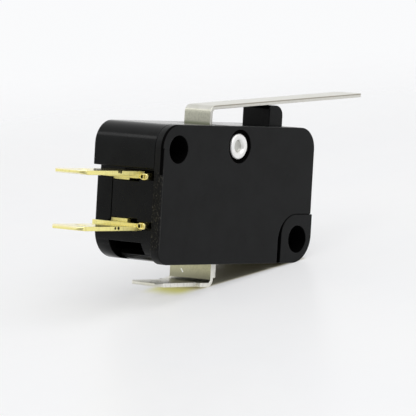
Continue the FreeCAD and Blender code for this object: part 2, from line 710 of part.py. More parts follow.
def make_contact_blade():
    body = new_body("contact_blade")
    blade_front, blade_back = around(terminal_middle, blade_width)
    clamp_bottom = arm_pad_bottom + terminal_sheet
    clamp_top = clamp_bottom + blade_sheet
    blade_top = blade_bottom + blade_sheet
    outline = [(blade_end, clamp_bottom), (blade_end, clamp_top), (blade_clamp, clamp_top),
               (blade_knee, blade_top), (blade_tip, blade_top), (blade_tip, blade_bottom),
               (blade_knee, blade_bottom), (blade_clamp, clamp_bottom)]
    pad(body, "blade_strip", "Y", blade_front, blade_back, outline)
    window_front, window_back = around(terminal_middle, window_width)
    pocket(body, "blade_window", "Z", blade_bottom, blade_top,
           box(window_left, window_right, window_front, window_back))
    hole = moving_shank + pin_clearance
    pocket(body, "blade_contact_hole", "Z", blade_bottom, blade_top, circle=((contact_across, terminal_middle), hole))
    pocket(body, "blade_rivet_hole", "Z", clamp_bottom, clamp_top,
           circle=((blade_rivet_across, terminal_middle), hole))
    return body


def make_snap_spring():
    body = new_body("snap_spring")
    bow_front, bow_back = around(terminal_middle, bow_width)
    centre = (bow_across, bow_up)
    pad(body, "bow_disc", "Y", bow_front, bow_back, circle=(centre, bow_radius))
    pocket(body, "bow_inside", "Y", bow_front, bow_back, circle=(centre, bow_radius - bow_sheet))
    left = bow_across - bow_radius * 1.2
    right = bow_across + bow_radius * 1.2
    above = bow_up + bow_radius * 1.2
    pocket(body, "bow_ends", "Y", bow_front, bow_back,
           [(left, blade_bottom), (window_left, blade_bottom), (anchor_right, anchor_notch_up),
            (right, anchor_notch_up), (right, above), (left, above)])
    return body


def make_spring_anchor():
    body = new_body("spring_anchor")
    anchor_front, anchor_back = around(terminal_middle, anchor_width)
    base_bottom = arm_bottom + terminal_sheet
    base_top = base_bottom + anchor_sheet
    face = anchor_right - anchor_sheet
    outline = [(anchor_left, base_bottom), (anchor_right, base_bottom), (anchor_right, anchor_top),
               (face, anchor_top), (face, anchor_notch_up + anchor_notch), (face + anchor_notch, anchor_notch_up),
               (face, anchor_notch_up - anchor_notch), (face, base_top), (anchor_left, base_top)]
    pad(body, "anchor_bracket", "Y", anchor_front, anchor_back, outline)
    return body


def rivet_contact(label, plate_face, direction, face):
    """A fixed contact: its head lies on one face of its plate, and its shank is upset on the other."""
    head = face
    lip = head - contact_edge * direction
    far_face = plate_face - terminal_sheet * direction
    upset = far_face - contact_upset_height * direction
    profile = [(zero, head), (contact_radius - contact_edge, head), (contact_radius, lip),
               (contact_radius, plate_face), (contact_shank, plate_face), (contact_shank, far_face),
               (contact_upset, far_face), (contact_upset, upset), (zero, upset)]
    return turned(label, "Z", contact_across, terminal_middle, profile)


def make_contacts():
    moving_top = blade_bottom + blade_sheet + moving_height
    moving_low = blade_bottom - moving_height
    blade_top = blade_bottom + blade_sheet
    profile = [(zero, moving_low), (moving_radius - contact_edge, moving_low),
               (moving_radius, moving_low + contact_edge), (moving_radius, blade_bottom),
               (moving_shank, blade_bottom), (moving_shank, blade_top), (moving_radius, blade_top),
               (moving_radius, moving_top - contact_edge), (moving_radius - contact_edge, moving_top),
               (zero, moving_top)]
    moving = turned("moving_contact", "Z", contact_across, terminal_middle, profile)
    upper = rivet_contact("nc_contact", upper_plate_top - terminal_sheet, -1, contact_face)
    lower = rivet_contact("no_contact", lower_plate_top, 1, lower_face)
    return [moving, upper, lower]


def make_blade_rivet():
    arm_face = arm_pad_bottom
    blade_face = arm_pad_bottom + terminal_sheet + blade_sheet
    profile = [(zero, arm_face - blade_rivet_height), (blade_rivet_head, arm_face - blade_rivet_height),
               (blade_rivet_head, arm_face), (moving_shank, arm_face), (moving_shank, blade_face),
               (blade_rivet_head, blade_face), (blade_rivet_head, blade_face + blade_rivet_height),
               (zero, blade_face + blade_rivet_height)]
    return turned("blade_rivet", "Z", blade_rivet_across, terminal_middle, profile)


pieces = [
    make_case(),
    make_cover(),
    make_cover_rivet(),
    make_lever(),
    make_plunger(),
    make_side_terminal("nc_terminal", upper_tab_top, -1),
    make_side_terminal("no_terminal", lower_tab_top, 1),
    make_common_terminal(),
    make_contact_blade(),
    make_snap_spring(),
    make_spring_anchor(),
    *make_contacts(),
    make_blade_rivet(),
]

# Every piece moves together, from the case frame to the lower mounting hole at the back face.
for piece in pieces:
    bind(piece, ".Placement.Base.x", -low_hole_across)
    bind(piece, ".Placement.Base.y", -case_depth)
    bind(piece, ".Placement.Base.z", -hole_edge)

doc.recompute()

for thing in doc.Objects:
    if "Invalid" in thing.State or "Error" in thing.State:
        raise ValueError(f"{thing.Label} failed: {thing.State}")

os.makedirs("parts", exist_ok=True)
for piece in pieces:
    if piece.Shape.isNull() or not piece.Shape.isValid():
        raise ValueError(f"{piece.Label} has no valid shape")
    if len(piece.Shape.Solids) != 1:
        raise ValueError(f"{piece.Label} is not one solid")
    piece.Shape.exportStep(f"parts/{piece.Label}.step")
    print(piece.Label, round(piece.Shape.Volume, 2), "mm3")

pivot = (lever_middle - low_hole_across, pivot_up - hole_edge)
print("lever pivot x, z:", [round(size.value, 4) for size in pivot])
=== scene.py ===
import math
import bmesh
import bpy
from mathutils import Matrix, Vector
from mathutils.bvhtree import BVHTree


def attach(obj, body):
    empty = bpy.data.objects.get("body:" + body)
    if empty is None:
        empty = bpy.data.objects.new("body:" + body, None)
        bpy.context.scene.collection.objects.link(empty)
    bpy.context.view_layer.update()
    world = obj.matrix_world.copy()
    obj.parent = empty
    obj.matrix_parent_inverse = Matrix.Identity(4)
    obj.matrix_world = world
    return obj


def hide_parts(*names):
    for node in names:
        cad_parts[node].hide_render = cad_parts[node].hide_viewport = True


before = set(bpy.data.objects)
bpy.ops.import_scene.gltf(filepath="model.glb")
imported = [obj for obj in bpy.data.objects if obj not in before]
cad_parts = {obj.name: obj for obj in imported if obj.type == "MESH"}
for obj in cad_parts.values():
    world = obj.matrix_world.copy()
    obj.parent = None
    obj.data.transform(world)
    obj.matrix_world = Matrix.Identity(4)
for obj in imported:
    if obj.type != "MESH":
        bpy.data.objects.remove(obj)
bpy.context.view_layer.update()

# Every place below is in mm from the case's lower left front corner: X to the right, Y to the back, Z up.
MM = 0.001
# The row's origin as such a place: the axis of the lower hole, in the case's back face.
ORIGIN = Vector((25.1, 10.3, 2.8))
# Axes along Y, as X and Z.
LOWER_HOLE = (25.1, 2.8)
UPPER_HOLE = (2.75, 13.1)
RIVET = (13.57, 13.57)


def at(x, y, z):
    """A place as a point of the row frame, in metres."""
    return (Vector((x, y, z)) - ORIGIN) * MM


def place_of(point):
    """The place of a point of the row frame."""
    return point / MM + ORIGIN


# Camera

CAMERA_TURNS = (-50.298, 2.7607, 3.2328)
CAMERA_AIM = (13.9, 5.15, 7.95)
# From the aim backwards, to the right and upwards, in mm.
CAMERA_SHIFT = (460.14, 0.37286, -1.84682)
FOCAL_LENGTH = 343.29


def make_camera():
    turn, rise, roll = (math.radians(angle) for angle in CAMERA_TURNS)
    back = Vector((math.sin(turn) * math.cos(rise), -math.cos(turn) * math.cos(rise), math.sin(rise)))
    level = Vector((math.cos(turn), math.sin(turn), 0))
    steep = back.cross(level)
    right = level * math.cos(roll) + steep * math.sin(roll)
    up = steep * math.cos(roll) - level * math.sin(roll)
    shift = sum((way * length for way, length in zip((back, right, up), CAMERA_SHIFT)), Vector())
    data = bpy.data.cameras.new("camera")
    data.sensor_width = 36
    data.lens = FOCAL_LENGTH
    data.clip_start = 0.01
    data.clip_end = 20
    camera = bpy.data.objects.new("camera", data)
    bpy.context.scene.collection.objects.link(camera)
    turned = Matrix((right, up, back)).transposed().to_4x4()
    camera.matrix_world = Matrix.Translation(at(*CAMERA_AIM) + shift * MM) @ turned
    bpy.context.scene.camera = camera


make_camera()


# Node helpers

class Look:
    """A node tree of a material or the world, with short calls for its nodes."""

    def __init__(self, name, owner=None):
        self.owner = owner or bpy.data.materials.new(name)
        self.owner.use_nodes = True
        self.tree = self.owner.node_tree
        self.tree.nodes.clear()

    def node(self, kind, inputs=None, **settings):
        made = self.tree.nodes.new(kind)
        for key, value in settings.items():
            setattr(made, key, value)
        for key, value in (inputs or {}).items():
            if isinstance(value, bpy.types.NodeSocket):
                self.tree.links.new(value, made.inputs[key])
            else:
                made.inputs[key].default_value = value
        return made

    def math(self, operation, first, second=0.5, clamp=False):
        inputs = {0: first, 1: second}
        return self.node("ShaderNodeMath", inputs, operation=operation, use_clamp=clamp).outputs[0]

    def product(self, first, *others):
        for other in others:
            first = self.math("MULTIPLY", first, other)
        return first

    def measure(self, operation, first, second):
        """The distance or the dot product of two vectors."""
        inputs = {0: first, 1: second}
        return self.node("ShaderNodeVectorMath", inputs, operation=operation).outputs["Value"]

    def point(self):
        """The shaded point of the row frame, in metres."""
        return self.node("ShaderNodeTexCoord").outputs["Object"]

    def place(self, stretch=(1, 1, 1), shift=(0, 0, 0)):
        """The shaded point in mm from the row's origin, stretched along the axes and shifted."""
        scale = tuple(share / MM for share in stretch)
        inputs = {"Vector": self.point(), "Location": shift, "Scale": scale}
        return self.node("ShaderNodeMapping", inputs).outputs[0]

    def parts(self, vector):
        return self.node("ShaderNodeSeparateXYZ", {0: vector}).outputs

    def facing(self):
        """The parts of the surface's normal."""
        return self.parts(self.node("ShaderNodeTexCoord").outputs["Normal"])

    def along(self, axis, low, high):
        """A smooth step between two places on an axis, which is 0 for X, 1 for Y and 2 for Z."""
        value = self.parts(self.place())[axis]
        return self.ramp(value, low - ORIGIN[axis], high - ORIGIN[axis])

    def band(self, axis, places):
        """A share that rises from the first place to the second and falls from the third to the fourth."""
        start, full, end, none = places
        return self.product(self.along(axis, start, full), self.along(axis, none, end))

    def noise(self, place, scale, detail, rough, warp=0.0):
        return self.node("ShaderNodeTexNoise", {
            "Vector": place, "Scale": scale, "Detail": detail, "Roughness": rough, "Distortion": warp,
        }).outputs["Fac"]

    def ramp(self, value, low, high, out_low=0.0, out_high=1.0):
        return self.node("ShaderNodeMapRange", {
            "Value": value, "From Min": low, "From Max": high, "To Min": out_low, "To Max": out_high,
        }, interpolation_type="SMOOTHSTEP").outputs[0]

    def blend(self, share, first, second):
        """A colour between two, by a share of the second."""
        first, second = (
            colour if isinstance(colour, bpy.types.NodeSocket) else (*colour, 1) for colour in (first, second)
        )
        return self.node("ShaderNodeMix", {0: share, 6: first, 7: second}, data_type="RGBA").outputs[2]

    def bump(self, height, strength, distance, normal=None):
        inputs = {"Height": height, "Strength": strength, "Distance": distance * MM}
        if normal is not None:
            inputs["Normal"] = normal
        return self.node("ShaderNodeBump", inputs).outputs[0]

    def mix(self, share, first, second):
        """A shader between two, by a share of the second."""
        return self.node("ShaderNodeMixShader", {0: share, 1: first, 2: second}).outputs[0]

    def output(self, shader, kind="ShaderNodeOutputMaterial"):
        self.node(kind, {"Surface": shader})
        return self.owner

    def surface(self, inputs):
        return self.output(self.node("ShaderNodeBsdfPrincipled", inputs).outputs[0])


def dimmed(colour, share):
    return tuple(part * share for part in colour)


# Materials

DUST = (0.16, 0.15, 0.13)
FLECK = (0.088, 0.082, 0.066)
# The pitted strip fades in from the first place to the second, in X and in height at its two ends.
STRIP_EDGE = (0.35, 0.2)
STRIP_TOP = (11.2, 10.4)
STRIP_BOTTOM = (1.2, 2.2)


def plastic(name, colour, rough, shine, grain=1.0, specks=0.5, seed=0.0, broken=False):
    """Moulded black plastic: a slow cloud of tone, fine moulded grain and a few pale specks. A broken one has
    a rough, pitted strip where the gate was torn off its left side."""
    look = Look(name)
    place = look.place(shift=(seed, seed * 0.7, seed * 1.3))
    cloud = look.noise(place, 0.35, 4, 0.6)
    fine = look.noise(place, 14, 3, 0.65)
    middle = look.noise(place, 3.2, 4, 0.6, 0.4)
    dust = look.ramp(look.noise(place, 9, 2, 0.7), 0.735, 0.79)
    tone = look.blend(look.ramp(cloud, 0.3, 0.7), dimmed(colour, 0.72), dimmed(colour, 1.3))
    tone = look.blend(look.ramp(middle, 0.52, 0.75, 0, 0.35), tone, dimmed(colour, 1.7))
    tone = look.blend(look.product(dust, specks), tone, DUST)
    slow = look.ramp(cloud, 0.25, 0.75, rough - 0.05, rough + 0.05)
    gloss = look.math("ADD", slow, look.ramp(fine, 0.3, 0.7, -0.05, 0.05), clamp=True)
    normal = look.bump(fine, 0.35, 0.006 * grain)
    normal = look.bump(middle, 0.3, 0.012 * grain, normal)
    if broken:
        strip = look.product(look.along(0, *STRIP_EDGE), look.along(2, *STRIP_TOP))
        strip = look.product(strip, look.along(2, *STRIP_BOTTOM))
        pits = look.noise(look.place((1, 1.3, 1), (2, 2, 2)), 3.6, 5, 0.8)
        flecks = look.product(look.ramp(pits, 0.55, 0.62), strip, 0.8)
        tone = look.blend(flecks, tone, FLECK)
        gloss = look.math("ADD", gloss, look.product(strip, 0.3), clamp=True)
        normal = look.bump(look.product(pits, strip), 0.9, 0.09, normal)
    return look.surface({
        "Base Color": tone, "Roughness": gloss, "Normal": normal,
        "Specular IOR Level": shine, "IOR": 1.5,
    })


BURR = (0.30, 0.26, 0.20)


def upright_tone(look, place, facing, tone, upright):
    """The tone with that of the faces across X, which fades low on them to a deeper one, painted shade.
    upright is the two tones and the heights where the fading starts and ends."""
    plain, deep, top, bottom = upright
    # Painted shade: darker towards the bottom of the faces across X.
    side = look.blend(look.along(2, top, bottom), plain, deep)
    stains = look.ramp(look.noise(place, 3.4, 4, 0.7), 0.44, 0.66, 0, 0.42)
    side = look.blend(stains, side, dimmed(plain, 0.5))
    stands = look.ramp(look.math("ABSOLUTE", facing[0]), 0.8, 0.97, 0, 0.85)
    stands = look.product(stands, look.along(2, bottom - 0.35, bottom - 0.2))
    return look.blend(stands, tone, side)


def burr_tone(look, facing, tone, burr):
    """The tone with a dark line along the front edge of a top face. burr is a point and the normal of the
    face."""
    spot, up = burr
    away = look.node("ShaderNodeVectorMath", {0: look.point(), 1: spot}, operation="SUBTRACT").outputs[0]
    below = look.measure("DOT_PRODUCT", away, up)
    line = look.ramp(below, -0.16 * MM, -0.11 * MM)
    return look.blend(look.product(line, look.ramp(facing[1], -0.3, -0.7, 0, 0.75)), tone, BURR)


def metal(name, colour, dull, rough, grain=(0.25, 9, 9), stain=0.3, scratch=0.5, seed=0.0, cut=None,
          cut_rough=0.45, upright=None, burr=None, spots=()):
    """Rolled strip: streaks along the rolling direction, cloudy tarnish, fine scratches and duller sheared
    edges. cut is the tone of the sheared edges, lighter on the brass and the plated strip as a painted
    highlight, upright and burr are what upright_tone and burr_tone take, and a spot is a place, a radius and
    a tone."""
    look = Look(name)
    place = look.place(shift=(seed, seed * 0.6, seed * 1.7))
    facing = look.facing()
    streaks = look.noise(look.place(grain, (seed, 0, 0)), 1.0, 4, 0.6)
    cloud = look.noise(place, 0.5, 4, 0.6, 0.3)
    fine = look.noise(place, 11, 3, 0.6)
    marks = look.noise(look.place((2.2, 0.3, 5.0), (seed * 2, 0, 0)), 1.6, 5, 0.7, 0.6)
    marks = look.ramp(marks, 0.66, 0.70)
    tone = look.blend(look.ramp(cloud, 0.38, 0.72, 0, stain), colour, dull)
    tone = look.blend(look.ramp(streaks, 0.35, 0.7, 0, 0.3), tone, dimmed(colour, 0.82))
    if upright:
        tone = upright_tone(look, place, facing, tone, upright)
    gloss = look.ramp(streaks, 0.25, 0.75, rough - 0.04, rough + 0.06)
    gloss = look.math("ADD", gloss, look.product(marks, 0.12 * scratch), clamp=True)
    normal = look.bump(streaks, 0.25, 0.006)
    normal = look.bump(marks, 0.3 * scratch, 0.006, normal)
    normal = look.bump(fine, 0.2, 0.003, normal)
    # Sheared edges: rougher, with the cut tone, which is partly a painted highlight.
    if cut:
        across = look.math("ABSOLUTE", facing[1])
        if not upright:
            across = look.math("MAXIMUM", across, look.math("ABSOLUTE", facing[0]))
        sheared = look.ramp(across, 0.6, 0.85)
        tears = look.noise(look.place((5, 5, 1.2), (seed, 3, 0)), 1.0, 4, 0.6)
        torn = look.blend(look.ramp(tears, 0.45, 0.75, 0, 0.5), cut, dimmed(cut, 0.7))
        tone = look.blend(sheared, tone, torn)
        gloss = look.math("ADD", gloss, look.product(sheared, cut_rough - rough), clamp=True)
        normal = look.bump(look.product(tears, sheared), 0.3, 0.01, normal)
    if burr:
        tone = burr_tone(look, facing, tone, burr)
    for spot, radius, mark in spots:
        reach = look.measure("DISTANCE", look.point(), at(*spot))
        tone = look.blend(look.ramp(reach, radius * MM, 0.5 * radius * MM), tone, mark)
    return look.surface({
        "Base Color": tone, "Metallic": 1.0, "Roughness": gloss, "Normal": normal,
        "Anisotropic": 0.0,
    })


def top_face(node):
    """The middle and the normal of the node's largest face that looks up."""
    faces = [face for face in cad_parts[node].data.polygons if face.normal.z > 0.9]
    largest = max(faces, key=lambda face: face.area)
    return tuple(largest.center), tuple(largest.normal)


CASE = plastic("case_black", (0.0042, 0.0047, 0.0049), 0.16, 0.125, 0.5, 0.2)
COVER = plastic("cover_black", (0.005, 0.0054, 0.0057), 0.36, 0.125, 0.8, 0.1, seed=5.0, broken=True)
# Painted shade: near black, dull and hardly shiny, for the faces of the case and cover in holes, the groove,
# the side exit and on the cover's rim, and for those that see out little.
PAINTED_SHADE = plastic("painted_shade_black", (0.0012, 0.0012, 0.0012), 0.85, 0.03, 1.0, 0.0, seed=11.0)
PLUNGER = plastic("plunger_black", (0.0033, 0.0037, 0.0039), 0.3, 0.12, 0.7, 0.05, seed=9.0)

ALUMINIUM = metal("rivet_bright", (0.95, 0.95, 0.94), (0.82, 0.81, 0.78), 0.52, (6, 6, 6), 0.4, 0.2, 3.0)
# The rivet's dish: less rough, and darker as painted shade.
DISH_PAINTED_SHADE = metal("rivet_dish_painted_shade", (0.60, 0.60, 0.57), (0.46, 0.45, 0.42), 0.42, (5, 5, 5), 0.5, 0.3, 3.5)
STEEL = metal(
    "lever_satin", (0.74, 0.73, 0.68), (0.57, 0.58, 0.48), 0.33, (0.2, 10, 10), 0.4, 0.4, 7.0,
    # The deeper upright tone is painted shade low on the lever's leg.
    cut=(0.72, 0.71, 0.66), upright=((0.56, 0.56, 0.45), (0.22, 0.25, 0.14), 16.3, 15.95),
    burr=top_face("lever"),
)
BRASS = metal(
    "brass_bright", (0.96, 0.87, 0.40), (0.78, 0.64, 0.21), 0.14, (0.25, 8, 8), 0.35, 0.5, 2.0,
    cut=(1.0, 0.93, 0.42), cut_rough=0.62, spots=(
        # Dark spots on the tabs' front edges, painted as the shade of small dents.
        ((-4.15, 2.78, 10.36), 0.2, (0.05, 0.04, 0.01)),
        ((-3.8, 2.78, 10.34), 0.24, (0.03, 0.025, 0.01)),
        ((-4.25, 2.78, 4.0), 0.2, (0.05, 0.04, 0.01)),
        ((-3.7, 2.78, 4.0), 0.25, (0.01, 0.008, 0.003)),
    ),
)
ROLLED = metal("brass_rolled", (0.92, 0.80, 0.32), (0.70, 0.55, 0.15), 0.22, (3, 3, 3), 0.4, 0.3, 2.5)
PLATED = metal(
    "plated_dull", (0.86, 0.85, 0.76), (0.66, 0.64, 0.48), 0.36, (0.3, 7, 7), 0.4, 0.5, 4.0,
    # The deeper upright tone is painted shade low on the leg, by the foot.
    cut=(0.97, 0.96, 0.90), cut_rough=0.6, upright=((0.60, 0.58, 0.34), (0.26, 0.25, 0.15), -0.5, -2.0),
    spots=(
        ((12.05, 6.50, -1.08), 0.13, (1, 1, 0.95)),
        ((12.05, 6.38, -1.22), 0.12, (1, 1, 0.95)),
        ((12.05, 6.28, -1.36), 0.13, (1, 1, 0.95)),
    ),
)
# Painted shade: dark brass for the faces of the terminals that see out little, inside the case.
PAINTED_SHADE_BRASS = metal("brass_painted_shade", (0.10, 0.08, 0.03), (0.05, 0.04, 0.015), 0.5, (0.25, 8, 8), 0.5, 0.2, 12.0)
COPPER = metal("spring_copper", (0.72, 0.42, 0.25), (0.52, 0.27, 0.14), 0.28, (0.25, 8, 8), 0.3, 0.3, 6.0)
SILVER = metal("contact_silver", (0.82, 0.81, 0.77), (0.60, 0.58, 0.52), 0.25, (5, 5, 5), 0.4, 0.2, 8.0)


# Which faces of the moulded case are in shade, and so get a dark material as painted shade

def tree_of(*nodes):
    """The joined surface of some CAD nodes, for casting rays."""
    spots, faces = [], []
    for node in nodes:
        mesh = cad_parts[node].data
        first = len(spots)
        spots += [vert.co.copy() for vert in mesh.vertices]
        faces += [[first + corner for corner in face.vertices] for face in mesh.polygons]
    return BVHTree.FromPolygons(spots, faces)


SHELL = tree_of("case", "cover", "plunger")
RAYS = 64
# The turn from one ray to the next, in radians, which spreads them evenly.
RAY_TURN = 2.399963


def openness(spot, facing):
    """The share of the half sphere over a spot of the shell that sees out."""
    basis = facing.to_track_quat("Z", "Y")
    clear = 0
    for ray in range(RAYS):
        rise = (ray + 0.5) / RAYS
        turn = ray * RAY_TURN
        flat = math.sqrt(1 - rise * rise)
        way = basis @ Vector((flat * math.cos(turn), flat * math.sin(turn), rise))
        if SHELL.ray_cast(spot + facing * 1e-5, way)[0] is None:
            clear += 1
    return clear / RAYS


# Axes along Y with the reach of the shade round them: the rivet's seat and the two holes.
SHADED = ((RIVET, 2.1), (UPPER_HOLE, 1.75), (LOWER_HOLE, 1.75))
# Depths between which faces lie in the holes, and edges and faces in the narrow groove round the case.
HOLE_DEPTHS, SEAM_EDGES, SEAM_FACES = (0.02, 10.2), (7.8, 8.1), (7.89, 8.01)
# Depth of the rim on the cover that is painted dark as the shadow of the gap along its edge.
PAINTED_SHADE_RIM_DEPTH = 0.36
# Rooms as ranges of X, Y and Z: that rim, the side exit, and the foot of the boss behind the cover.
PAINTED_SHADE_RIM = ((-1, 2.6), (0.01, PAINTED_SHADE_RIM_DEPTH), (10.4, 17))
EXIT = ((-1, 3.45), (3.2, 8.4), (0.25, 2.28))
BOSS_FOOT = ((24.3, 29), (1.65, 1.75), (-1, 3.4))


def between(value, ends):
    return ends[0] < value < ends[1]


def within(place, room):
    return all(between(value, ends) for value, ends in zip(place, room))


def in_seam(point):
    """Whether a point is in the narrow groove round the case, or at the foot of the boss."""
    place = place_of(point)
    return between(place.y, SEAM_EDGES) or within(place, BOSS_FOOT)


def in_shade(point):
    """Whether a point is in a hole, in the rivet's seat, in the groove, in the side exit at the case's lower
    left, or on the rim along the cover's upper left edge, which is painted dark as the shadow of a gap."""
    place = place_of(point)
    for axis, reach in SHADED:
        if math.hypot(place.x - axis[0], place.z - axis[1]) < reach and between(place.y, HOLE_DEPTHS):
            return True
    return within(place, PAINTED_SHADE_RIM) or within(place, EXIT) or between(place.y, SEAM_FACES)


# Pieces that stand for the CAD nodes, with their edges rounded

# Edges that turn by more than this are rounded, in degrees.
SHARP = 34


def divide(form, point, normal):
    geometry = form.verts[:] + form.edges[:] + form.faces[:]
    bmesh.ops.bisect_plane(form, geom=geometry, plane_co=point, plane_no=normal)


def keep_normals(piece):
    even = piece.modifiers.new("normals", "WEIGHTED_NORMAL")
    even.keep_sharp = True


def rounded(node, body, material, width, inside=None, shut=0.22, reshape=None, level=None, front=None):
    """The node's own form with softened edges. inside is the dark material painted as shade on the faces that
    are in shade or see out by less than the share shut. level and front are a height and a depth at which
    faces are divided, so that they can differ."""
    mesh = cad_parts[node].data.copy()
    mesh.materials.clear()
    form = bmesh.new()
    form.from_mesh(mesh)
    bmesh.ops.remove_doubles(form, verts=form.verts, dist=1e-6)
    bmesh.ops.dissolve_limit(form, angle_limit=math.radians(0.5), verts=form.verts, edges=form.edges)
    if reshape:
        reshape(form)
    if level is not None:
        divide(form, at(0, 0, level), (0, 0, 1))
    if front is not None:
        divide(form, at(0, front, 0), (0, 1, 0))
    for face in form.faces:
        face.smooth = True
        face.material_index = 0
        middle = face.calc_center_median()
        # Faces in shade get the second material, which is painted shade.
        if inside and (in_shade(middle) or openness(middle, face.normal) < shut):
            face.material_index = 1
    weight = form.edges.layers.float.new("bevel_weight_edge")
    for edge in form.edges:
        middle = (edge.verts[0].co + edge.verts[1].co) / 2
        if edge.calc_face_angle(0) > math.radians(SHARP) and not in_seam(middle):
            edge[weight] = 1
    form.to_mesh(mesh)
    form.free()
    piece = bpy.data.objects.new(node + "_form", mesh)
    bpy.context.scene.collection.objects.link(piece)
    mesh.materials.append(material)
    if inside:
        mesh.materials.append(inside)
    soft = piece.modifiers.new("edges", "BEVEL")
    soft.width = width * MM
    soft.segments = 3
    soft.limit_method = "WEIGHT"
    soft.use_clamp_overlap = False
    soft.miter_outer = "MITER_ARC"
    keep_normals(piece)
    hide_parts(node)
    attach(piece, body)


# The forms of the case's left side lie left of this X and behind this Y.
SIDE_RIGHT, SIDE_FRONT = 3.5, 2
# Heights in the solid and here: the top of the room for the lower tab's lock, and the side exit's top.
LOWERED = ((5.3, 4.95), (2.4, 2.27))
# Depths between which the side exit's back end lies, the height it is below, and how far it is moved back.
EXIT_END, EXIT_TOP, EXIT_SHIFT = (6.5, 7.8), 2.45, 0.5


def narrow_slots(form):
    """The lower tab's lock and the side exit have less room above them, and the exit reaches further back."""
    for vert in form.verts:
        x, y, z = place_of(vert.co)
        if x > SIDE_RIGHT or y < SIDE_FRONT:
            continue
        for solid, seen in LOWERED:
            if abs(z - solid) < 0.02:
                vert.co.z = (seen - ORIGIN.z) * MM
        if between(y, EXIT_END) and z < EXIT_TOP:
            vert.co.y += EXIT_SHIFT * MM


# The cover's cut-out round the boss is to the right of this place and below it.
CUT_CORNER = (20.5, 0, 8)
# Radius of the cut-out, and how much narrower the groove gets.
CUT_RADIUS, GROOVE_CLOSE = 3.15, 0.12


def taper_groove(form):
    """The groove between the cover and the boss narrows from the bottom edge to the right end."""
    corner = at(*CUT_CORNER)
    cut = [vert for vert in form.verts if vert.co.x > corner.x and vert.co.z < corner.z]
    left = min(vert.co.x for vert in cut)
    top = max(vert.co.z for vert in cut)
    middle = Vector((left + CUT_RADIUS * MM, 0, top - CUT_RADIUS * MM))
    for vert in cut:
        away = vert.co - middle
        away.y = 0
        if away.x >= 0 and away.z > 0:
            vert.co.z -= GROOVE_CLOSE * MM
        elif away.z > 0:
            vert.co -= away.normalized() * GROOVE_CLOSE * MM * (away.z / away.length) ** 0.7


# The flange's front edge is in front of the first depth in the solid, and at the second inside its curl.
FLANGE_FRONT, FLANGE_END = 1.6, 1.95


def pull_flange(form):
    """The flange's front edge ends inside its curl."""
    for vert in form.verts:
        if place_of(vert.co).y < FLANGE_FRONT:
            vert.co.y = (FLANGE_END - ORIGIN.y) * MM


rounded("case", "housing", CASE, 0.09, PAINTED_SHADE, reshape=narrow_slots)
rounded("cover", "housing", COVER, 0.09, PAINTED_SHADE, reshape=taper_groove, front=PAINTED_SHADE_RIM_DEPTH)
rounded("plunger", "plunger", PLUNGER, 0.12)
rounded("lever", "lever", STEEL, 0.05)
rounded("nc_terminal", "housing", BRASS, 0.05, PAINTED_SHADE_BRASS, shut=0.3, reshape=pull_flange)
rounded("no_terminal", "housing", BRASS, 0.05, PAINTED_SHADE_BRASS, shut=0.12, reshape=pull_flange)
rounded("common_terminal", "housing", PLATED, 0.05, PAINTED_SHADE_BRASS, shut=0.1, level=0.3)


# Pieces with a form of their own

def link(name, form, material, body):
    """A new piece from a bmesh, on its body."""
    bmesh.ops.recalc_face_normals(form, faces=form.faces)
    for face in form.faces:
        face.smooth = True
    mesh = bpy.data.meshes.new(name)
    form.to_mesh(mesh)
    form.free()
    mesh.materials.append(material)
    piece = bpy.data.objects.new(name, mesh)
    bpy.context.scene.collection.objects.link(piece)
    keep_normals(piece)
    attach(piece, body)
    return piece


def loop(form, spots):
    return [form.verts.new(spot) for spot in spots]


def bridge(form, first, second):
    """Faces between two closed rows of as many points, or between a row and a single point, all turned the
    same way."""
    sides = max(len(first), len(second))
    for side in range(sides):
        after = (side + 1) % sides
        if len(first) == 1:
            form.faces.new((first[0], second[after], second[side]))
        elif len(second) == 1:
            form.faces.new((first[side], first[after], second[0]))
        else:
            form.faces.new((first[side], first[after], second[after], second[side]))


# Radius and depth of the rivet's outline, from the middle of its dished head to the middle of its back.
RIVET_OUTLINE = (
    (0, 0.58), (0.3, 0.60), (0.56, 0.62), (0.64, 0.59), (0.69, 0.41), (0.77, 0.22), (0.86, 0.10),
    (0.98, 0.04), (1.14, 0.01), (1.26, 0.02), (1.37, 0.07), (1.45, 0.16), (1.49, 0.27), (1.47, 0.35),
    (1.0, 0.36), (1.0, 9.9), (1.40, 9.9), (1.5, 9.98), (1.5, 10.12), (1.42, 10.2), (0.6, 10.2),
    (0.5, 10.1), (0, 10.06),
)
RIVET_SIDES = 64
# How far the hammered front head is out of round, and the depth it is so to.
RIVET_LUMPS, RIVET_HEAD = 0.012, 1
# Depths between which the dish gets a darker, less rough face, the darker tone painted shade.
RIVET_DISH = (0.42, 2)


def make_rivet():
    """The rivet that holds the cover, its tubular end rolled over into a dished head."""
    form = bmesh.new()
    rows = []
    for radius, depth in RIVET_OUTLINE:
        spots = []
        for side in range(RIVET_SIDES if radius else 1):
            turn = 2 * math.pi * side / RIVET_SIDES
            wave = 0
            if radius and depth < RIVET_HEAD:
                wave = math.sin(3 * turn + 5 * radius) + 0.6 * math.sin(7 * turn + 9 * depth + 1.3)
            wave *= RIVET_LUMPS
            reach = radius + wave
            x = RIVET[0] + reach * math.cos(turn)
            z = RIVET[1] + reach * math.sin(turn)
            spots.append(at(x, depth + 0.5 * abs(wave), z))
        rows.append(loop(form, spots))
    for first, second in zip(rows, rows[1:]):
        bridge(form, first, second)
    piece = link("cover_rivet_form", form, ALUMINIUM, "housing")
    piece.data.materials.append(DISH_PAINTED_SHADE)
    for face in piece.data.polygons:
        if between(place_of(face.center).y, RIVET_DISH):
            face.material_index = 1
    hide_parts("cover_rivet")


CURL_SIDES = 28
CURL_DEPTH = 1.93


def rounded_part(value):
    """A sine or cosine drawn out, which turns a circle into a rounded square."""
    return math.copysign(abs(value) ** 0.6, value)


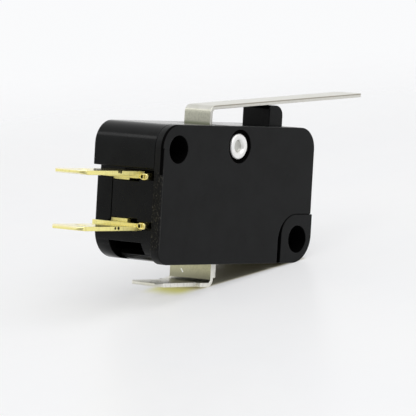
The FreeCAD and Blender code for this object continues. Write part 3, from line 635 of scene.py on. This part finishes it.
def make_curl(name, up, tall):
    """The rolled end of a terminal's flange at the height up, twice as high as tall, open towards the tab's
    tip."""
    form = bmesh.new()

    def ring(x, wide, high, shift):
        """A rounded square across X by half its width and height, shifted towards the back."""
        spots = []
        for side in range(CURL_SIDES):
            turn = 2 * math.pi * side / CURL_SIDES
            y = CURL_DEPTH + shift + wide * rounded_part(math.cos(turn))
            spots.append(at(x, y, up + high * rounded_part(math.sin(turn))))
        return loop(form, spots)

    back = ring(0.2, 0.46, tall, 0)
    outer = ring(-0.86, 0.46, tall, 0)
    lip = ring(-0.9, 0.42, tall - 0.05, 0)
    mouth = ring(-0.9, 0.15, tall * 0.66, -0.08)
    deep = ring(-0.1, 0.13, tall * 0.6, -0.08)
    form.faces.new(back)
    for first, second in ((back, outer), (outer, lip), (lip, mouth), (mouth, deep)):
        bridge(form, first, second)
    form.faces.new(deep)
    link(name, form, ROLLED, "housing")


make_rivet()
make_curl("nc_flange_curl", 9.88, 0.37)
make_curl("no_flange_curl", 4.30, 0.38)


# The inner pieces keep their CAD forms

INNER = {
    "contact_blade": COPPER, "snap_spring": COPPER, "spring_anchor": BRASS,
    "moving_contact": SILVER, "nc_contact": SILVER, "no_contact": SILVER, "blade_rivet": SILVER,
}
for node, material in INNER.items():
    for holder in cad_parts[node].material_slots:
        holder.material = material


# Floor, which slopes as the switch leans on its lower tab and the case's lower right corner

FLOOR_SLOPE = 0.2153
# X and Z of the lower tab's edge on the floor.
TAB_EDGE = (11.8, -2.789)
FLOOR_MIDDLE = (14, 5, -2.3)
FLOOR_RADIUS, FLOOR_RINGS, FLOOR_SIDES = 200.0, 12, 96
# Distances from the middle between which the floor fades out, in metres.
FLOOR_FADE = (0.07, 0.15)
# The painted shadow under the case and the painted yellow reflection of the brass under the lower tab, as
# bands along X and Y.
PAINTED_SHADOW = ((9, 12, 26.6, 27.6), (0, 1, 8.6, 10.6))
PAINTED_REFLECTION = ((6.2, 9.2, 10.6, 12.4), (1.6, 4.0, 7.0, 9.0))
# How far the front of the painted shadow recedes for each mm to the left.
PAINTED_SHADOW_SLANT = 0.13


def floor_point(turn, reach):
    """The floor's point at a turn and reach round its middle."""
    x = FLOOR_MIDDLE[0] + reach * math.cos(turn)
    y = FLOOR_MIDDLE[1] + reach * math.sin(turn)
    return at(x, y, TAB_EDGE[1] + FLOOR_SLOPE * (x - TAB_EDGE[0]))


def painted_shadow_share(look):
    """The share of the painted shadow under the case, whose front edge is slanted."""
    parts = look.parts(look.place())
    slanted = look.math("ADD", parts[1], look.product(parts[0], PAINTED_SHADOW_SLANT))
    start, full, end, none = PAINTED_SHADOW[1]
    front = look.ramp(slanted, start - ORIGIN.y, full - ORIGIN.y)
    return look.product(look.band(0, PAINTED_SHADOW[0]), front, look.along(1, none, end))


def floor_material():
    """White paper that fades out far from the switch. The camera and mirroring faces see it lifted towards
    white, but hardly so on the painted brown shadow under the case, and with a painted yellow reflection of
    the brass under the lower tab."""
    look = Look("floor_white")
    clear = look.node("ShaderNodeBsdfTransparent").outputs[0]
    under = look.node("ShaderNodeNewGeometry").outputs["Backfacing"]
    paths = look.node("ShaderNodeLightPath")
    seen = paths.outputs["Is Camera Ray"]
    mirrored = look.math("MAXIMUM", seen, paths.outputs["Is Glossy Ray"])
    painted_shadow = painted_shadow_share(look)
    painted_reflection = look.product(look.band(0, PAINTED_REFLECTION[0]), look.band(1, PAINTED_REFLECTION[1]))
    cloud = look.ramp(look.noise(look.place(), 0.05, 2, 0.5), 0.3, 0.7)
    tone = look.blend(cloud, (0.83, 0.835, 0.85), (0.85, 0.85, 0.855))
    # Painted shadow: the paper under the case is tinted brown.
    tone = look.blend(painted_shadow, tone, (0.82, 0.79, 0.69))
    gloss = look.ramp(look.noise(look.place(), 0.4, 3, 0.5), 0.3, 0.7, 0.3, 0.36)
    inputs = {"Base Color": tone, "Roughness": gloss, "Specular IOR Level": 0.2}
    shader = look.node("ShaderNodeBsdfPrincipled", inputs).outputs[0]
    # Under the lower tab the glow is yellow, a painted reflection of the brass.
    glow = look.blend(painted_reflection, (0.94, 0.945, 0.955), (0.68, 0.66, 0.20))
    # Under the case the glow is brown, part of the painted shadow.
    glow = look.blend(painted_shadow, glow, (0.72, 0.64, 0.34))
    paper = look.node("ShaderNodeEmission", {"Color": glow, "Strength": 1.0}).outputs[0]
    # The lift is taken off under the case, which keeps the painted shadow dark.
    lift = look.math("SUBTRACT", 1.0, look.product(painted_shadow, 0.96))
    lift = look.product(lift, look.product(mirrored, 0.5))
    shader = look.mix(lift, shader, paper)
    away = look.measure("DISTANCE", look.point(), at(*FLOOR_MIDDLE))
    gone = look.math("MAXIMUM", look.ramp(away, *FLOOR_FADE), look.product(under, seen))
    return look.output(look.mix(gone, shader, clear))


def make_floor():
    form = bmesh.new()
    before = [form.verts.new(floor_point(0, 0))]
    for ring in range(1, FLOOR_RINGS + 1):
        reach = FLOOR_RADIUS * ring / FLOOR_RINGS
        turns = [2 * math.pi * side / FLOOR_SIDES for side in range(FLOOR_SIDES)]
        row = loop(form, [floor_point(turn, reach) for turn in turns])
        bridge(form, row, before)
        before = row
    mesh = bpy.data.meshes.new("floor")
    form.to_mesh(mesh)
    form.free()
    mesh.materials.append(floor_material())
    floor = bpy.data.objects.new("floor", mesh)
    bpy.context.scene.collection.objects.link(floor)


make_floor()


# Light

# The floor's normal, the way to the bright horizon and the way to the dark patch on the camera's side.
FLOOR_UP = (-0.2105, 0, 0.9776)
HORIZON = (0.77, 0.64, 0)
DARK_PATCH = (-0.7685, -0.638, 0.048)


def make_world():
    world = bpy.data.worlds.new("room")
    bpy.context.scene.world = world
    look = Look("room", world)
    way = look.node("ShaderNodeTexCoord").outputs["Generated"]
    height = look.measure("DOT_PRODUCT", way, FLOOR_UP)
    behind = look.measure("DOT_PRODUCT", way, HORIZON)
    near = look.measure("DOT_PRODUCT", way, DARK_PATCH)
    paths = look.node("ShaderNodeLightPath")
    horizon = look.product(look.ramp(behind, -0.5, 0.7), look.ramp(height, 0.4, 0.12, 0.0, 0.2))
    glow = look.math("ADD", look.ramp(height, -0.1, 0.6, 0.58, 0.7), horizon)
    glow = look.product(glow, look.ramp(near, 0.82, 0.95, 1.0, 0.15))
    glow = look.product(glow, look.math("ADD", 1.0, look.product(paths.outputs["Is Glossy Ray"], 0.25)))
    room = look.node("ShaderNodeBackground", {"Color": (1, 1, 1, 1), "Strength": glow}).outputs[0]
    white = look.node("ShaderNodeBackground", {"Color": (0.955, 0.96, 0.97, 1), "Strength": 1.0}).outputs[0]
    look.output(look.mix(paths.outputs["Is Camera Ray"], room, white), "ShaderNodeOutputWorld")


def make_lamp(name, place, size, power, target=(14, 5, 6), gloss_only=False):
    """A round lamp at a place, aimed at another. Its size is in mm and its power in watts."""
    data = bpy.data.lights.new(name, "AREA")
    data.shape = "DISK"
    data.size = size * MM
    data.energy = power
    lamp = bpy.data.objects.new(name, data)
    bpy.context.scene.collection.objects.link(lamp)
    lamp.location = at(*place)
    aim = at(*target) - lamp.location
    lamp.rotation_euler = aim.to_track_quat("-Z", "Y").to_euler()
    lamp.visible_diffuse = not gloss_only


make_world()
make_lamp("softbox", (-110, -130, 340), 420, 0.8)
make_lamp("strip", (-155, 215, 190), 64, 0.022, target=(3, 5, 14), gloss_only=True)
make_lamp("window", (-75, -320, 95), 160, 0.09, gloss_only=True)

scene = bpy.context.scene
scene.view_settings.view_transform = "Standard"
